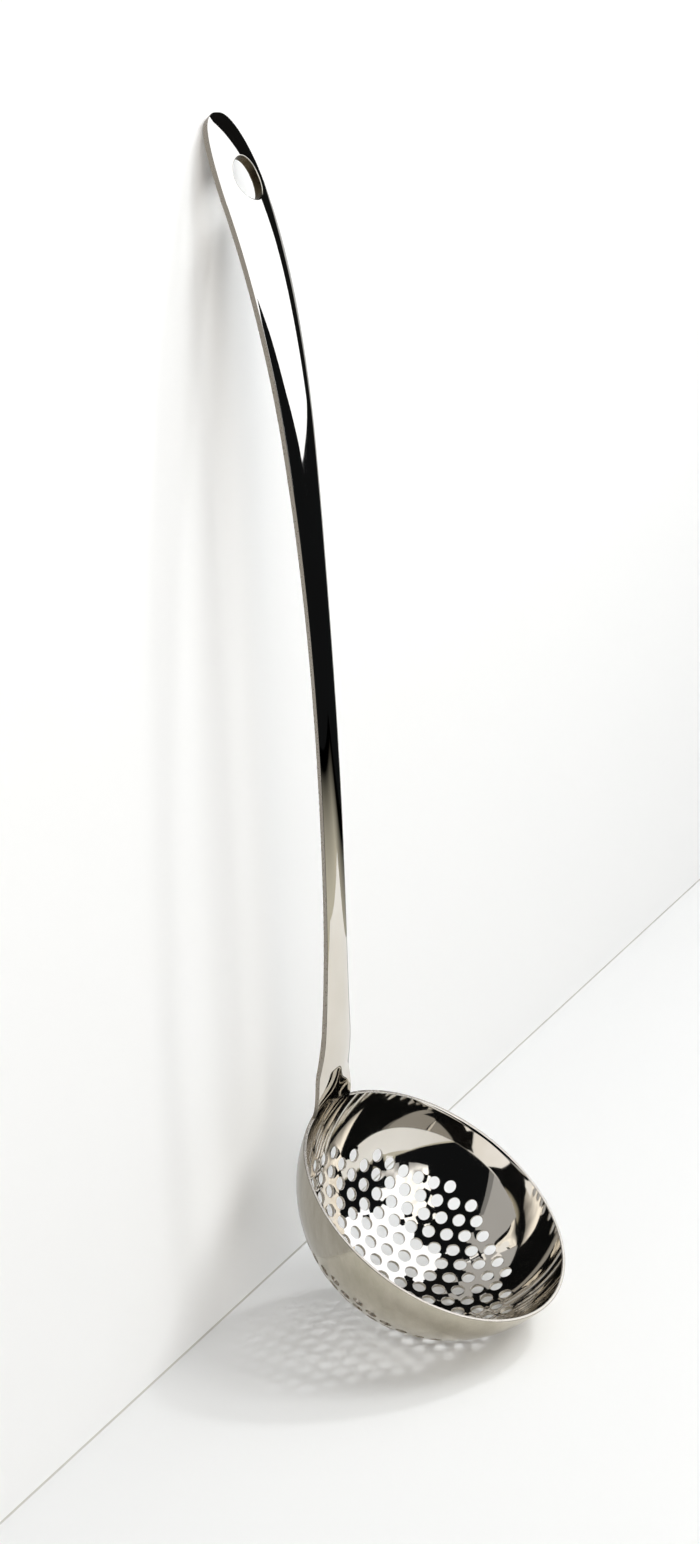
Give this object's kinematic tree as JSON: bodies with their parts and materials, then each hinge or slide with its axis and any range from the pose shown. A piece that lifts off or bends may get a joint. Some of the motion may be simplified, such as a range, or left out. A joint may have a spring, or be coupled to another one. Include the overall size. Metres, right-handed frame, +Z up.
{
  "type": "straining ladle",
  "caption": "Stainless steel straining ladle with a deep perforated bowl and a long arched handle that widens to a rounded end with a hang hole.",
  "frame": {"origin": "centre of the hang hole, half way through the handle's thickness", "axes": "+Z up as the ladle stands in its picture, +X level, from the wall it leans on out over the bowl, +Y completes the right-handed frame, and the plane Y = 0 is the ladle's plane of symmetry"},
  "size_m": [0.0927, 0.084, 0.3336],
  "materials": {
    "bowl_steel": "polished",
    "weld_steel": "ground flush and polished",
    "handle_steel": "polished"
  },
  "bodies": {
    "root": {"bowl": "bowl_steel", "neck_weld": "weld_steel", "handle": "handle_steel"}
  },
  "joints": []
}
